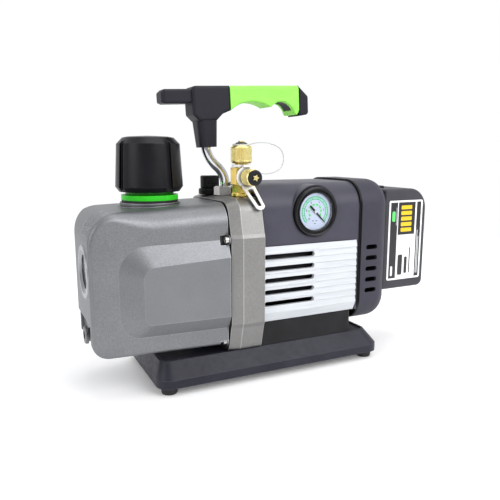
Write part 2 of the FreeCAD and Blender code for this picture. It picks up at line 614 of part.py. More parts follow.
# ---- rear cover and battery ---------------------------------------------------
def make_rear_cover():
    w = COVER_HALF_WIDTH

    def shell(inset):
        side, low, top = w - inset, COVER_Z[0] + inset, COVER_Z[1] - inset
        section = [(-side, low, 28 - inset), (side, low, 28 - inset),
                   (side, top, 29 - inset), (-side, top, 29 - inset)]
        solid = slab("x", COVER_X[0], COVER_X[1] - inset, section)
        return rounded(solid, 20.0 - inset, ("x", COVER_X[1] - inset))

    body = shell(0.0).cut(shell(3.0).cut(box((COVER_X[0] - CUT, COVER_X[0] + 2.0), (-70, 70), (0, 220))))
    opening = slab("x", COVER_X[0] - CUT, COVER_X[0] + 3.0,
                   rect((-w + 5.5, w - 5.5), (COVER_Z[0] + 18.0, COVER_Z[1] - 5.5), 24.0))
    vents = []
    for side in (-1, 1):
        for k in range(5):
            z = 78.5 + k * 12.2
            vents.append(slab("y", side * w - 12.0, side * w + 12.0,
                              rect((99.0, 114.6), (z - 2.7, z + 2.7), 2.6)))
        reach = sorted((side * (w - 1.0), side * (w + CUT)))
        vents += [box((COVER_X[0] - CUT, COVER_X[0] + 1.8), reach, (56.0, 180.0)),
                  box((COVER_X[0] - CUT, COVER_X[0] + 7.5), reach, (180.0, 181.0))]
    switch_box = box((91.6, 116.4), (w - 9.0, w - 1.0), (149.6, 164.4))
    switch_hole = box((94.0, 114.0), (w - 7.0, w + CUT), (151.6, 162.4))
    body = joined([body.cut([opening] + vents), switch_box])
    PARTS["rear_cover"] = body.cut(switch_hole)
    rocker = slab("z", 152.3, 161.7, [(95.0, w - 4.6, 0), (113.0, w - 4.6, 0), (113.0, w + 1.6, 1.0),
                                      (104.0, w - 0.6, 6.0), (95.0, w + 1.6, 1.0)])
    rocker.rotate(V(104.0, w - 3.0, 157.0), Z, 8.0)
    PARTS["power_switch"] = rocker.common(box((94.6, 113.4), (w - 5.6, w + 5.0), (152.0, 162.0)))


def rail(side, clearance, low, high):
    """A T-shaped rail of the battery dock, or the channel that it runs in."""
    dock = BATTERY_X[0] - GAP
    web = box((dock - clearance, dock + 4.0 + clearance), (22.0 - clearance, 25.0 + clearance), (low, high))
    lip = box((dock + 2.5 - clearance, dock + 5.5 + clearance), (19.0 - clearance, 28.0 + clearance),
              (low, high))
    t_shape = joined([web, lip])
    return t_shape if side > 0 else t_shape.mirror(V(), Y)


def make_battery():
    face = BATTERY_X[0]
    plate = slab("x", COVER_X[1], face - GAP, rect((-34.0, 34.0), (74.0, 180.0), 5.0))
    rails = [rail(side, 0.0, 84.0, RAIL_TOP) for side in (-1, 1)]
    PARTS["battery_dock"] = joined([plate] + rails)
    blades = [box((face - GAP, face + 8.7), (y - 0.5, y + 0.5), (112.0, 134.0)) for y in (-9.0, 0.0, 9.0)]
    PARTS["dock_terminals"] = Part.makeCompound(blades)

    low, high = BATTERY_Z
    half = BATTERY_HALF_WIDTH
    side_view = [(face, low, 3), (BATTERY_X[1], low, 8), (BATTERY_X[1], high, 24), (face, high, 3)]
    block = slab("y", -half, half, side_view)
    block = rounded(block, 2.8, ("y", -half), ("y", half))
    button_well = box((face + 5.2, face + 19.2), (-13.0, 13.0), (high - 9.0, high + CUT))
    socket = box((face - CUT, face + 9.7), (-13.0, 13.0), (low - CUT, 136.0))
    channels = [rail(side, 0.5, low - CUT, RAIL_TOP) for side in (-1, 1)]
    cell_room = box((face + 12.0, 199.4), (-33.5, 33.5), (76.0, 174.0))
    label_seat = slab("y", -half - CUT, -half + 0.5, rect((145.3, 195.7), (80.4, 175.2), 2.5))
    PARTS["battery_case"] = block.cut([button_well, socket, cell_room, label_seat] + channels)
    PARTS["battery_label"] = slab("y", -half, -half + 0.5, rect((145.5, 195.5), (80.6, 175.0), 2.3))
    button = slab("z", high - 4.5, high + 2.5, rect((face + 5.6, face + 18.8), (-12.6, 12.6), 2.0))
    PARTS["battery_button"] = rounded(button, 1.2, ("z", high + 2.5))
    cells = [rod(9.2, V(x, -32.5, 86.0 + 19.0 * k), Y, 65.0) for x in (164.0, 186.5) for k in range(5)]
    PARTS["battery_cells"] = Part.makeCompound(cells)


# ---- inlet valve ---------------------------------------------------------------
def star(start, direction, radius, length):
    """A small five-lobed button that rivets a cap's strap on."""
    side = X if abs(direction.x) < 0.5 else Y
    other = direction.cross(side)
    points = []
    for k in range(10):
        r = radius if k % 2 == 0 else radius * 0.55
        angle = math.radians(36 * k)
        points.append(start + side * (r * math.cos(angle)) + other * (r * math.sin(angle)))
    return Part.Face(Part.makePolygon(points + points[:1])).extrude(direction * length)


def flare_cap(start, direction, radius, length, bore, rise):
    """A knurled brass flare cap, open at the port's end, with the star rivet that holds its button."""
    outside = spun(start, direction, [(0, 0), (radius - 1.6, 0), (radius, 1.6), (radius, length - 1.8),
                                      (radius - 1.8, length), (0, length)])
    skirt = knurled(start, direction, radius, length, 40).common(outside)
    skirt = skirt.cut(rod(bore, start - direction * CUT, direction, length * 0.78 + CUT))
    rivet = rod(1.7, start + direction * (length * 0.9), direction, length * 0.1 + rise)
    return joined([skirt, rivet, star(start + direction * (length + rise), direction, 3.3, 1.0)])


def make_inlet():
    top = V(VALVE_X, VALVE_Y, FLANGE_TOP)
    side = V(VALVE_X, VALVE_Y, SIDE_PORT_Z)
    lower = spun(top, Z, [(0, 0), (9.4, 0), (10.2, 0.8), (10.2, 3.2), (9.4, 4.4), (8.6, 4.8),
                          (8.6, 12.0), (0, 12.0)])
    flats = hexagon(17.4, top + Z * 4.6, Z, 8.0)
    square = slab("z", top.z + 12.4, 215.2, rect((VALVE_X - 8.6, VALVE_X + 8.6),
                                                 (VALVE_Y - 8.6, VALVE_Y + 8.6), 1.6))
    neck = rod(6.2, V(VALVE_X, VALVE_Y, 215.0), Z, 4.2)
    top_port = rod(7.8, V(VALVE_X, VALVE_Y, 219.0), Z, 13.4)
    side_neck = rod(4.6, side - Y * 7.0, -Y, 6.0)
    side_port = rod(5.2, side - Y * 12.8, -Y, 11.0)
    stub = rod(7.9, top - Z * 10.0, Z, 12.0)
    way = rod(3.4, top - Z * 12.0, Z, 60.0)
    side_way = rod(2.2, side - Y * 28.0, Y, 28.0)
    body = joined([lower, flats, square, neck, top_port, side_neck, side_port, stub])
    PARTS["valve_body"] = body.cut([way, side_way])

    cap_low = V(VALVE_X, VALVE_Y, 219.4)
    PARTS["top_cap"] = flare_cap(cap_low, Z, 10.7, 17.6, 7.8 + GAP, 3.6)
    cap_top = cap_low + Z * 17.6
    PARTS["top_cap_button"] = spun(cap_top, Z, [(2.0, 0), (7.6, 0), (6.8, 1.6), (4.2, 3.2), (2.0, 3.4)])
    side_start = side - Y * 14.0
    PARTS["side_cap"] = flare_cap(side_start, -Y, 8.0, 17.0, 5.2 + GAP, 1.9)
    side_end = side_start - Y * 17.0
    PARTS["side_cap_button"] = spun(side_end, -Y, [(2.0, 0), (7.6, 0), (7.6, 0.8), (6.6, 1.6), (2.0, 1.6)])
    return side, cap_top


def make_cap_straps(side, cap_top):
    """The moulded strap round both ports, and the thin tether above."""
    thickness = 1.4
    collar = ring(10.6, 4.6, side - Y * 12.6, Y, thickness)
    upper = ring(9.8, 6.5, V(side.x, side.y, 215.7), Z, 2.4)
    link = box((side.x - 3.5, side.x + 3.5), (side.y - 14.0, side.y - 8.0), (215.7, 218.1))
    tail = slab("y", 0.0, thickness, [(-7.0, 2.5, 2.0), (-4.6, -29.5, 4.3), (4.6, -29.5, 4.3),
                                      (7.0, 2.5, 2.0)])
    eye = slab("y", -CUT, thickness + CUT, [(-3.6, -4.0, 1.6), (-2.2, -26.0, 2.1),
                                            (2.2, -26.0, 2.1), (3.6, -4.0, 1.6)])
    tail = tail.cut(eye)
    tail.rotate(V(), Y, -12.0)
    tail.rotate(V(), X, -41.0)
    tail.translate(side + V(1.4, -13.3, -8.4))
    PARTS["cap_strap"] = joined([collar, upper, link, tail])

    y = VALVE_Y
    route = [V(cap_top.x + 8.4, y, cap_top.z + 0.8), V(-21.0, y - 1.0, 240.4), V(-7.0, y - 2.0, 239.8),
             V(5.0, y - 3.0, 234.0), V(8.4, y - 4.0, 223.5), V(3.0, y - 6.0, 213.5),
             V(-9.0, y - 9.0, 209.0), V(side.x + 19.0, y - 11.0, 209.0),
             V(side.x + 10.4, y - 11.9, side.z + 3.4)]
    filament = bent_tube(route, 0.6)
    top_ring = ring(8.8, 7.8, cap_top + Z * 0.1, Z, 1.4)
    PARTS["cap_tether"] = joined([filament, top_ring])


def make_ballast():
    """Gas-ballast valve on the flange, behind the handle."""
    skirt = spun(BALLAST, Z, [(0, 0), (12.2, 0), (12.2, 4.2), (11.4, 6.0), (0, 6.0)])
    stem = rod(5.9, BALLAST, -Z, 9.0)
    spindle = rod(3.0, BALLAST + Z * 6.0, Z, 6.0)
    PARTS["ballast_base"] = joined([skirt, stem, spindle])
    knob = spun(BALLAST + Z * 6.3, Z, [(0, 0), (9.6, 0), (10.2, 0.8), (10.2, 12.4), (9.4, 13.2), (0, 13.2)])
    well = rod(3.0 + SLIP, BALLAST + Z * 5.0, Z, 7.6)
    flats = [box((BALLAST.x - 20.0, BALLAST.x + 20.0), (BALLAST.y + low, BALLAST.y + low + 10.0),
                 (BALLAST.z + 10.0, BALLAST.z + 30.0)) for low in (7.4, -17.4)]
    PARTS["ballast_knob"] = knob.cut([well] + flats)


# ---- handle ---------------------------------------------------------------------
def on_handle(shape):
    """Move a shape drawn about the handle's own origin to its tilted place."""
    shape.rotate(V(), Y, -HANDLE_TILT)
    shape.translate(HANDLE_PIVOT)
    return shape


def handle_plate(corners, radius):
    """A slice of the handle: side-view corners, rounded along both long edges."""
    half = HANDLE_WIDTH / 2
    block = slab("y", -half, half, corners)
    return rounded(block, radius, ("y", -half), ("y", half))


def grip_profile():
    """Side view of the grip with two finger scoops and a hook at its end."""
    start, end = V(20.0, 0, -24.6), V(93.5, 0, -28.0)
    corners = [start, V(20.0, 0, 0), V(99.8, 0, 0), V(99.8, 0, -27.5), V(98.0, 0, -30.5),
               V(95.0, 0, -30.5), end]
    ridge = [V(67.5, 0, -21.2), V(65.5, 0, -21.9), V(63.5, 0, -21.0)]
    edges = [Part.LineSegment(a, b).toShape() for a, b in zip(corners, corners[1:])]
    edges.append(Part.Arc(end, V(81.0, 0, -17.0), ridge[0]).toShape())
    edges.append(Part.Arc(*ridge).toShape())
    edges.append(Part.Arc(ridge[2], V(47.0, 0, -16.2), start).toShape())
    return Part.Wire(edges)


def make_handle():
    route = [V(TUBE_X, 0, FLANGE_TOP - 13.0), V(TUBE_X, 0, 208.0), V(-65.0, 0, 225.0),
             V(-69.0, 0, 262.0)]
    tube = bent_tube(route, 5.0)
    PARTS["handle_tube"] = tube
    nut = hexagon(21.0, V(TUBE_X, 0, FLANGE_TOP), Z, 9.5)
    nut.rotate(V(TUBE_X, 0, 0), Z, -23.0)
    chamfer = spun(V(TUBE_X, 0, FLANGE_TOP), Z, [(0, 0), (12.1, 0), (12.1, 8.0), (10.6, 9.5), (0, 9.5)])
    PARTS["handle_nut"] = nut.common(chamfer).cut(rod(5.0, V(TUBE_X, 0, FLANGE_TOP - CUT), Z, 12.0))

    half = HANDLE_WIDTH / 2
    head = handle_plate([(-20.7, 0, 5), (20.0, 0, 0.5), (20.0, -24.6, 0.5), (11.5, -27.5, 8),
                         (4.5, -34.0, 4), (-14.5, -34.0, 2), (-20.7, -27.5, 3)], 3.0)
    stem = taper("z", -60.0, rect((-13.6, 5.0), (-10.0, 10.0), 6.0),
                 -24.0, rect((-16.2, 6.4), (-12.4, 12.4), 6.0))
    stub = slab("x", -47.5, -19.0, rect((-10.0, 10.0), (-16.4, -2.7), 2.4))
    tip = taper("x", -51.0, rect((-7.6, 7.6), (-15.2, -5.4), 2.0),
                -47.5, rect((-10.0, 10.0), (-16.4, -2.7), 2.4))
    spine = box((18.0, 99.8), (-4.0, 4.0), (-15.0, -5.0))
    grip = Part.Face(grip_profile()).extrude(Y * HANDLE_WIDTH)
    grip.translate(V(0, -half, 0))
    pad_room = box((68.0, 93.0), (-8.5, 8.5), (-32.0, -13.0))
    raised = grip.copy()
    raised.translate(Z * 1.0)
    core = on_handle(joined([head, stem, stub, tip, spine, raised.common(pad_room)]))
    PARTS["handle_core"] = core.cut(tube)

    grip = grip.makeFillet(4.0, [edge for edge in edges_on(grip, "z", 0.0) if edge.Length > 50.0])
    scoops = [edge for level in (-half, half) for edge in edges_on(grip, "y", level)
              if edge.BoundBox.ZMax < -15.0]
    grip = grip.makeFillet(2.0, scoops)
    core_room = box((18.0, 101.0), (-4.0, 4.0), (-15.0, -5.0))
    PARTS["handle_grip"] = on_handle(grip.cut([core_room, pad_room]))
    end = handle_plate([(99.8, 0.0, 0), (112.0, -11.4, 3.5), (112.0, -30.5, 3.5),
                        (99.8, -32.0, 0)], 2.4)
    PARTS["handle_end"] = on_handle(end)


def main():
    make_base()
    make_tank()
    make_tank_fittings()
    make_exhaust()
    make_flange()
    make_pump()
    make_drive()
    make_shroud()
    make_panels()
    make_gauge()
    make_rear_cover()
    make_battery()
    side, cap_top = make_inlet()
    make_cap_straps(side, cap_top)
    make_ballast()
    make_handle()
    os.makedirs("parts", exist_ok=True)
    for name, shape in PARTS.items():
        shape.exportStep("parts/" + name + ".step")
        print(f"{name:18s} solids {len(shape.Solids)}  volume {shape.Volume / 1000:9.2f} cm3"
              f"  valid {shape.isValid()}")
    whole = Part.makeCompound(list(PARTS.values())).BoundBox
    print("box", whole)


main()
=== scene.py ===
import math

import bmesh
import bpy
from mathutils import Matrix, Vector


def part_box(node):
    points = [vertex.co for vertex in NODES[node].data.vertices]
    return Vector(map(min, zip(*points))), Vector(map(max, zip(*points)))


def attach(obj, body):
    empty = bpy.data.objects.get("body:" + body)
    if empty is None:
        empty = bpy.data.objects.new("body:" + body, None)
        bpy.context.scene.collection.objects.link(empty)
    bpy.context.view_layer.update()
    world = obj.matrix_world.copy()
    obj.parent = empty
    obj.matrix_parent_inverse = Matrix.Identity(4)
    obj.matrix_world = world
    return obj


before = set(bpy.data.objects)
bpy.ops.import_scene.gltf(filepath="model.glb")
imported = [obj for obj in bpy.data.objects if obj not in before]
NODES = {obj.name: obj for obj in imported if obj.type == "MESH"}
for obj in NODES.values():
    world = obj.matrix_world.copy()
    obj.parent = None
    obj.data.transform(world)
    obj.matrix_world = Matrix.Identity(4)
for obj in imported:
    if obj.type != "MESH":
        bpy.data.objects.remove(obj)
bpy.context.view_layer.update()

MM = 0.001                           # the frame is in metres
BEVEL_SAMPLES = 6
CREVICE_SAMPLES = 8


def add_object(name, data):
    thing = bpy.data.objects.new(name, data)
    bpy.context.scene.collection.objects.link(thing)
    return thing


# ---- materials ------------------------------------------------------------------
class Look:
    """A material being built: one principled shader fed by patterns in the piece's own space."""

    def __init__(self, name, **values):
        self.material = bpy.data.materials.new(name)
        self.material.use_nodes = True
        self.nodes = self.material.node_tree.nodes
        self.links = self.material.node_tree.links
        self.shader = self.nodes["Principled BSDF"]
        self.coords = self.nodes.new("ShaderNodeTexCoord").outputs["Object"]
        for socket, value in values.items():
            self.shader.inputs[socket.replace("_", " ")].default_value = value

    def add(self, kind, **inputs):
        """The first output of a new node whose inputs are set or linked.

        An input goes by its name, with underscores for spaces, or by its number after an underscore.
        """
        node = self.nodes.new(kind)
        for name, value in inputs.items():
            key = int(name[1:]) if name[0] == "_" else name.replace("_", " ")
            socket = node.inputs[key]
            if isinstance(value, bpy.types.NodeSocket):
                self.links.new(value, socket)
            else:
                socket.default_value = value
        return node.outputs[0]

    def noise(self, scale, stretch=(1, 1, 1), detail=3.0, roughness=0.6):
        place = self.add("ShaderNodeMapping", Vector=self.coords, Scale=stretch)
        return self.add("ShaderNodeTexNoise", Vector=place, Scale=scale, Detail=detail,
                        Roughness=roughness)

    def spread(self, factor, low, high, start=0.3, end=0.7):
        """The factor's range from start to end, mapped to low..high."""
        return self.add("ShaderNodeMapRange", Value=factor, From_Min=start, From_Max=end, To_Min=low,
                        To_Max=high)

    def colours(self, factor, dark, light, start=0.3, end=0.7):
        ramp = self.nodes.new("ShaderNodeValToRGB")
        ramp.color_ramp.elements[0].position = start
        ramp.color_ramp.elements[0].color = (*dark, 1)
        ramp.color_ramp.elements[1].position = end
        ramp.color_ramp.elements[1].color = (*light, 1)
        self.links.new(factor, ramp.inputs["Fac"])
        return ramp.outputs["Color"]

    def over(self, factor, below, above):
        """One colour laid over another where the factor says."""
        node = self.nodes.new("ShaderNodeMix")
        node.data_type = "RGBA"
        sockets = (node.inputs[0], node.inputs[6], node.inputs[7])
        for socket, value in zip(sockets, (factor, below, above)):
            if isinstance(value, bpy.types.NodeSocket):
                self.links.new(value, socket)
            else:
                socket.default_value = value if isinstance(value, float) else (*value, 1)
        return node.outputs[2]

    def rounded(self, radius):
        """The surface's direction, as if its edges were rounded to the radius."""
        bevel = self.nodes.new("ShaderNodeBevel")
        bevel.samples = BEVEL_SAMPLES
        bevel.inputs["Radius"].default_value = radius
        return bevel.outputs["Normal"]

    def edges(self, radius, sharpness=0.06):
        """1 along the piece's sharp edges, 0 on its faces: where a painted highlight lightens the colour.
        """
        rounded = self.rounded(radius)
        product = self.nodes.new("ShaderNodeVectorMath")
        product.operation = "DOT_PRODUCT"
        self.links.new(rounded, product.inputs[0])
        self.links.new(self.nodes.new("ShaderNodeNewGeometry").outputs["Normal"], product.inputs[1])
        return self.spread(product.outputs["Value"], 1.0, 0.0, 1.0 - sharpness, 1.0)

    def painted_corner_shade(self, reach):
        """1 in narrow gaps and inside corners, 0 in the open: where painted shade darkens the colour."""
        hollow = self.nodes.new("ShaderNodeAmbientOcclusion")
        hollow.samples = CREVICE_SAMPLES
        hollow.inputs["Distance"].default_value = reach
        return self.spread(hollow.outputs["AO"], 1.0, 0.0, 0.4, 0.9)

    def feed(self, socket, output):
        self.links.new(output, self.shader.inputs[socket])

    def relief(self, *layers, soften=0.0):
        """Bumps from (height, strength, depth in metres) layers over softly rounded edges."""
        normal = self.rounded(soften) if soften else None
        for height, strength, depth in layers:
            bump = self.nodes.new("ShaderNodeBump")
            bump.inputs["Strength"].default_value = strength
            bump.inputs["Distance"].default_value = depth
            self.links.new(height, bump.inputs["Height"])
            if normal:
                self.links.new(normal, bump.inputs["Normal"])
            normal = bump.outputs["Normal"]
        self.feed("Normal", normal)


def cast_metal(name, dark, light, edge_highlight):
    """Bead-blasted die casting: speckled grain, cloudy tone, a painted highlight along its edges and
    painted shade in inside corners.
    """
    look = Look(name, Metallic=0.85)
    grain = look.noise(1500, detail=4, roughness=0.75)
    cloud = look.noise(22, detail=3)
    tone = look.colours(grain, dark, light, 0.32, 0.68)
    tone = look.over(look.spread(cloud, 0.0, 0.16, 0.4, 0.65), tone, tuple(c * 0.7 for c in dark))
    # Painted shade: the colour darkens in inside corners and narrow gaps.
    tone = look.over(look.painted_corner_shade(0.005), tone, tuple(c * 0.12 for c in dark))
    # Painted highlight: the colour lightens along the sharp edges.
    look.feed("Base Color", look.over(look.edges(0.0011, 0.08), tone, edge_highlight))
    look.feed("Roughness", look.spread(look.noise(700, detail=4), 0.40, 0.54))
    look.relief((look.noise(260, detail=2), 0.10, 0.0002), (grain, 0.22, 0.00012), soften=0.0005)
    return look.material


LIP_WIDTH, LIP_FADE = 0.0026, 0.0003
# Painted shade: black for the shaded gap where the cover's lip meets the shroud.
PAINTED_SEAM_SHADE = (0.002, 0.002, 0.002)


def moulded(name, dark, light, roughness=(0.42, 0.58), soften=0.0006, grain_scale=2300, lip=None):
    """Fine-grained moulded plastic, with painted shade in black up to the X of its lip, for the shaded gap
    of a seam.
    """
    look = Look(name, Specular_IOR_Level=0.25)
    grain = look.noise(grain_scale, detail=3, roughness=0.7)
    cloud = look.noise(30, detail=4)
    mixed = look.add("ShaderNodeMath", _0=look.spread(grain, 0.0, 0.55),
                     _1=look.spread(cloud, 0.0, 0.45))
    tone = look.colours(mixed, dark, light, 0.2, 0.8)
    # Painted highlight: a lighter colour along the sharp edges.
    plastic_edge_highlight = tuple(min(1.0, c * 1.5 + 0.01) for c in light)
    tone = look.over(look.edges(0.0007, 0.1), tone, plastic_edge_highlight)
    # Painted shade: the colour darkens in inside corners and narrow gaps.
    tone = look.over(look.painted_corner_shade(0.004), tone, tuple(c * 0.15 for c in dark))
    if lip:
        along = look.add("ShaderNodeSeparateXYZ", Vector=look.coords)
        # Painted shade: the lip is coloured black where the seam gap lies in shade.
        tone = look.over(look.spread(along, 1.0, 0.0, lip - LIP_FADE, lip), tone, PAINTED_SEAM_SHADE)
    look.feed("Base Color", tone)
    look.feed("Roughness", look.spread(cloud, *roughness))
    look.relief((grain, 0.16, 0.0001), soften=soften)
    return look.material


def machined(name, dark, light, stretch, roughness=(0.18, 0.32), cut=0.12):
    """Turned or ground metal, with fine cutter lines across the stretched direction."""
    look = Look(name, Metallic=1.0)
    lines = look.noise(900, stretch, detail=5, roughness=0.7)
    cloud = look.noise(55, detail=3)
    tone = look.colours(look.spread(cloud, 0.0, 1.0), dark, light, 0.0, 1.0)
    # Painted highlight: a lighter colour along the sharp edges.
    metal_edge_highlight = tuple(min(1.0, c * 1.15 + 0.05) for c in light)
    look.feed("Base Color", look.over(look.edges(0.0005, 0.1), tone, metal_edge_highlight))
    look.feed("Roughness", look.spread(lines, *roughness))
    look.relief((lines, cut, 0.00005), soften=0.0004)
    return look.material


def powder_coat(name, dark, light):
    """Baked powder paint with its orange-peel skin and a painted highlight along its edges."""
    look = Look(name, Specular_IOR_Level=0.2)
    peel = look.noise(620, detail=2, roughness=0.5)
    cloud = look.noise(26, detail=4)
    tone = look.colours(cloud, dark, light, 0.35, 0.65)
    # Painted highlight: a lighter colour along the sharp edges.
    edge_highlight = tuple(c * 1.9 + 0.01 for c in light)
    look.feed("Base Color", look.over(look.edges(0.0012, 0.08), tone, edge_highlight))
    look.feed("Roughness", look.spread(look.noise(240, detail=3), 0.34, 0.5))
    look.relief((peel, 0.16, 0.00018), (look.noise(2400), 0.08, 0.00006), soften=0.0011)
    return look.material


def soft_rubber(name, dark, light, roughness=(0.5, 0.66), **values):
    look = Look(name, **values)
    grain = look.noise(1900, detail=2, roughness=0.55)
    cloud = look.noise(38, detail=3)
    look.feed("Base Color", look.colours(cloud, dark, light, 0.35, 0.65))
    look.feed("Roughness", look.spread(grain, *roughness))
    look.relief((grain, 0.2, 0.00012), soften=0.0008)
    return look.material


def clear(name, tint, roughness=(0.01, 0.05), **values):
    """Clear glass or plastic with faint smears in its polish."""
    look = Look(name, Transmission_Weight=1.0, **values)
    smear = look.noise(60, (1, 1, 2.5), detail=4)
    look.feed("Base Color", look.colours(smear, tint, tuple(min(1.0, c + 0.04) for c in tint)))
    look.feed("Roughness", look.spread(smear, *roughness))
    look.relief((look.noise(120), 0.02, 0.0001))
    return look.material


def printed(name, dark, light):
    """Screen-printed ink or film."""
    look = Look(name)
    fibre = look.noise(1400, detail=3)
    look.feed("Base Color", look.colours(fibre, dark, light))
    look.feed("Roughness", look.spread(look.noise(220), 0.28, 0.4))
    look.relief((fibre, 0.06, 0.00004))
    return look.material


def wound(name, dark, light):
    """Enamelled wire laid in turns round the motor's axis."""
    look = Look(name, Metallic=0.75)
    turns = look.noise(420, (1, 0.04, 0.04), detail=2)
    look.feed("Base Color", look.colours(turns, dark, light, 0.35, 0.65))
    look.feed("Roughness", look.spread(turns, 0.22, 0.4))
    look.relief((turns, 0.5, 0.0004))
    return look.material


def fibrous(name, dark, light):
    look = Look(name, Sheen_Weight=0.3)
    mat = look.noise(520, detail=5, roughness=0.8)
    look.feed("Base Color", look.colours(mat, dark, light))
    look.feed("Roughness", look.spread(mat, 0.75, 0.95))
    look.relief((mat, 0.6, 0.0005))
    return look.material


def rib_metal(name):
    """Clear-anodised extrusion: near white, drawn lines along its length, a painted highlight on the rib
    edges.
    """
    look = Look(name, Metallic=0.15)
    lines = look.noise(1100, (0.02, 1, 1), detail=4, roughness=0.7)
    cloud = look.noise(24, (0.4, 1, 1), detail=3)
    tone = look.colours(lines, (0.55, 0.58, 0.61), (0.68, 0.70, 0.73), 0.35, 0.65)
    tone = look.over(look.spread(cloud, 0.0, 0.12), tone, (0.46, 0.52, 0.60))
    # Painted highlight: near white along the rib edges.
    look.feed("Base Color", look.over(look.edges(0.0005), tone, (0.88, 0.89, 0.91)))
    look.feed("Roughness", look.spread(lines, 0.3, 0.46))
    look.relief((lines, 0.08, 0.00006), soften=0.0004)
    return look.material


CAST = cast_metal("cast_aluminium", (0.150, 0.155, 0.165), (0.262, 0.268, 0.282), (0.46, 0.47, 0.49))
FLANGE_CAST = cast_metal("flange_casting", (0.185, 0.182, 0.178), (0.310, 0.306, 0.300),
                         (0.46, 0.46, 0.45))
BASE_COAT = powder_coat("base_powder_coat", (0.019, 0.019, 0.028), (0.028, 0.028, 0.040))
RISER_COAT = powder_coat("riser_powder_coat", (0.008, 0.008, 0.009), (0.013, 0.013, 0.015))
SHROUD = moulded("shroud_plastic", (0.050, 0.049, 0.068), (0.066, 0.065, 0.089), (0.34, 0.5))
COVER_LIP = min(vertex.co.x for vertex in NODES["rear_cover"].data.vertices) + LIP_WIDTH
COVER = moulded("cover_plastic", (0.036, 0.035, 0.050), (0.048, 0.047, 0.066), lip=COVER_LIP)
PACK = moulded("battery_plastic", (0.044, 0.043, 0.051), (0.060, 0.059, 0.070))
DARK = moulded("black_plastic", (0.006, 0.006, 0.007), (0.012, 0.012, 0.014))
KNOB = moulded("knob_plastic", (0.002, 0.002, 0.003), (0.005, 0.005, 0.008), (0.27, 0.4), 0.0010)
HANDLE = moulded("handle_plastic", (0.008, 0.008, 0.013), (0.015, 0.015, 0.023), (0.42, 0.58), 0.0009,
                 1700)
BEZEL = moulded("bezel_plastic", (0.004, 0.004, 0.005), (0.008, 0.008, 0.010), (0.2, 0.3), 0.0003)
SWITCH = moulded("switch_plastic", (0.010, 0.010, 0.011), (0.018, 0.018, 0.02), (0.22, 0.34), 0.0005)
GREEN = moulded("green_nylon", (0.030, 0.55, 0.018), (0.050, 0.74, 0.030), (0.24, 0.38), 0.0008, 1500)
STRAP = moulded("white_nylon", (0.84, 0.84, 0.83), (0.92, 0.92, 0.91), (0.34, 0.48), 0.0005, 1500)
RED = moulded("coupling_urethane", (0.35, 0.03, 0.015), (0.5, 0.05, 0.02), (0.35, 0.5))
PHENOLIC = moulded("vane_composite", (0.10, 0.05, 0.02), (0.17, 0.09, 0.04), (0.45, 0.6))
CELL = moulded("cell_wrap", (0.02, 0.10, 0.10), (0.03, 0.15, 0.14), (0.25, 0.35))
GRIP = soft_rubber("lime_rubber", (0.26, 0.76, 0.080), (0.34, 0.88, 0.12))
RUBBER = soft_rubber("black_rubber", (0.005, 0.005, 0.006), (0.011, 0.011, 0.012))
BRASS = machined("machined_brass", (0.86, 0.60, 0.12), (0.97, 0.77, 0.24), (0.2, 0.2, 3.0))
CAP_BRASS = machined("knurled_brass", (0.88, 0.68, 0.22), (0.98, 0.83, 0.38), (1, 1, 1), (0.24, 0.38),
                     cut=0.3)
BRONZE = machined("bush_bronze", (0.42, 0.27, 0.10), (0.55, 0.36, 0.15), (3.0, 0.2, 0.2), (0.3, 0.45))
CHROME = machined("chrome_plate", (0.46, 0.47, 0.49), (0.60, 0.61, 0.63), (1, 1, 1), (0.04, 0.10),
                  cut=0.02)
NICKEL = machined("nickel_plate", (0.34, 0.335, 0.325), (0.48, 0.47, 0.455), (0.3, 0.3, 3.0), (0.12, 0.24))
STEEL = machined("ground_steel", (0.42, 0.42, 0.43), (0.56, 0.56, 0.57), (4.0, 0.3, 0.3), (0.22, 0.38))
ZINC = machined("zinc_plate", (0.48, 0.47, 0.45), (0.64, 0.63, 0.60), (2.0, 1, 1), (0.25, 0.4))
# Painted shade: the drain plug's steel is coloured much darker than the ground steel, for the shade it
# sits in inside its recess.
PLUG = machined("plug_steel", (0.13, 0.13, 0.135), (0.22, 0.22, 0.225), (3.0, 0.4, 0.4), (0.34, 0.5))
SIGHT = machined("turned_aluminium", (0.24, 0.25, 0.27), (0.36, 0.37, 0.39), (4.0, 0.4, 0.4), (0.26, 0.4))
HUB = machined("machined_aluminium", (0.48, 0.48, 0.49), (0.62, 0.62, 0.63), (4.0, 0.3, 0.3), (0.28, 0.42))
IRON = cast_metal("ground_iron", (0.13, 0.13, 0.135), (0.22, 0.22, 0.225), (0.35, 0.35, 0.36))
CAN = powder_coat("motor_can_paint", (0.016, 0.016, 0.018), (0.026, 0.026, 0.03))
FINS = rib_metal("anodised_ribs")
COPPER = wound("enamelled_copper", (0.30, 0.09, 0.02), (0.62, 0.24, 0.08))
FILTER = fibrous("filter_fibre", (0.50, 0.48, 0.42), (0.72, 0.70, 0.64))
GLASS = clear("sight_glass", (0.04, 0.045, 0.045), IOR=1.3)
LENS = clear("gauge_lens_plastic", (0.93, 0.95, 0.96), (0.0, 0.03), IOR=1.2)
FILAMENT = soft_rubber("clear_nylon", (0.62, 0.63, 0.64), (0.74, 0.75, 0.76), (0.2, 0.3),
                       Transmission_Weight=0.3, IOR=1.4)
DIAL = printed("dial_enamel", (0.66, 0.72, 0.93), (0.78, 0.83, 0.98))
FILM = printed("label_film", (0.91, 0.91, 0.91), (0.96, 0.96, 0.96))

